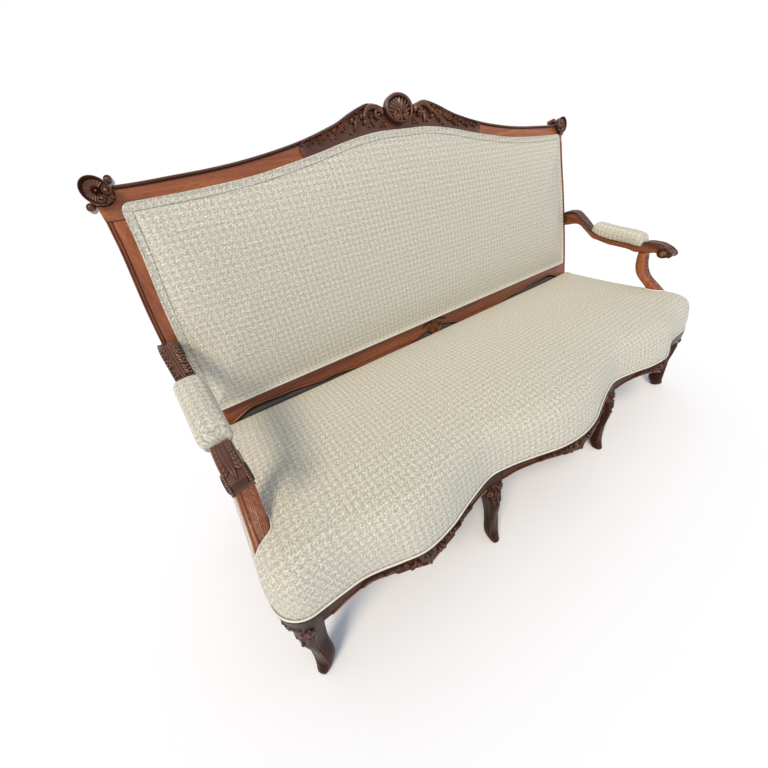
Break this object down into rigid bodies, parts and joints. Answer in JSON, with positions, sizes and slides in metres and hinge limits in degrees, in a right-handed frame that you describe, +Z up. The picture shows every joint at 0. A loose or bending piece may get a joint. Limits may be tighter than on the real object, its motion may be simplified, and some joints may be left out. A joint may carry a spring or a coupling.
{
  "type": "carved upholstered settee",
  "caption": "Antique-style settee with a raked padded back in a carved serpentine wood frame, open arms with pads, a bow-fronted sprung seat and cabriole front legs.",
  "frame": {"origin": "on the floor, under the middle of the whole piece", "axes": "+X to the right of someone facing the front, +Y to the back, +Z up"},
  "size_m": [1.8752, 0.8234, 1.198],
  "materials": {
    "show_wood": "french-polished reddish brown walnut, semi-gloss",
    "carved_wood": "the same polish, darker in the hollows of the carving",
    "frame_timber": "sawn, unfinished",
    "seat_cloth": "cream cloth with a small waffle weave, matte",
    "edge_gimp": "cream self gimp, matte",
    "hessian": "plain jute hessian",
    "web": "jute webbing",
    "spring_steel": "plain drawn wire",
    "lining": "thin black bottom cloth"
  },
  "bodies": {
    "root": {"arm_left": "show_wood", "arm_pad_left": "seat_cloth", "arm_pad_right": "seat_cloth", "arm_post_left": "show_wood", "arm_post_right": "show_wood", "arm_right": "show_wood", "back_gimp": "edge_gimp", "back_hessian": "hessian", "back_upholstery": "seat_cloth", "back_webbing": "web", "bottom_cloth": "lining", "crest_rail": "show_wood", "crest_shell": "carved_wood", "ear_rosette_left": "carved_wood", "ear_rosette_right": "carved_wood", "front_corner_block_left": "frame_timber", "front_corner_block_right": "frame_timber", "front_leg_inner_left": "show_wood", "front_leg_inner_right": "show_wood", "front_leg_outer_left": "show_wood", "front_leg_outer_right": "show_wood", "front_rail_centre": "show_wood", "front_rail_left": "show_wood", "front_rail_right": "show_wood", "lower_back_rail": "show_wood", "outside_back_cover": "seat_cloth", "rear_corner_block_left": "frame_timber", "rear_corner_block_right": "frame_timber", "rear_post_left": "show_wood", "rear_post_right": "show_wood", "rear_seat_rail": "show_wood", "seat_bearer_left": "frame_timber", "seat_bearer_right": "frame_timber", "seat_gimp": "edge_gimp", "seat_hessian": "hessian", "seat_spring_01": "spring_steel", "seat_spring_02": "spring_steel", "seat_spring_03": "spring_steel", "seat_spring_04": "spring_steel", "seat_spring_05": "spring_steel", "seat_spring_06": "spring_steel", "seat_spring_07": "spring_steel", "seat_spring_08": "spring_steel", "seat_spring_09": "spring_steel", "seat_spring_10": "spring_steel", "seat_spring_11": "spring_steel", "seat_spring_12": "spring_steel", "seat_spring_13": "spring_steel", "seat_spring_14": "spring_steel", "seat_upholstery": "seat_cloth", "seat_webbing": "web", "side_rail_left": "show_wood", "side_rail_right": "show_wood"}
  },
  "joints": []
}
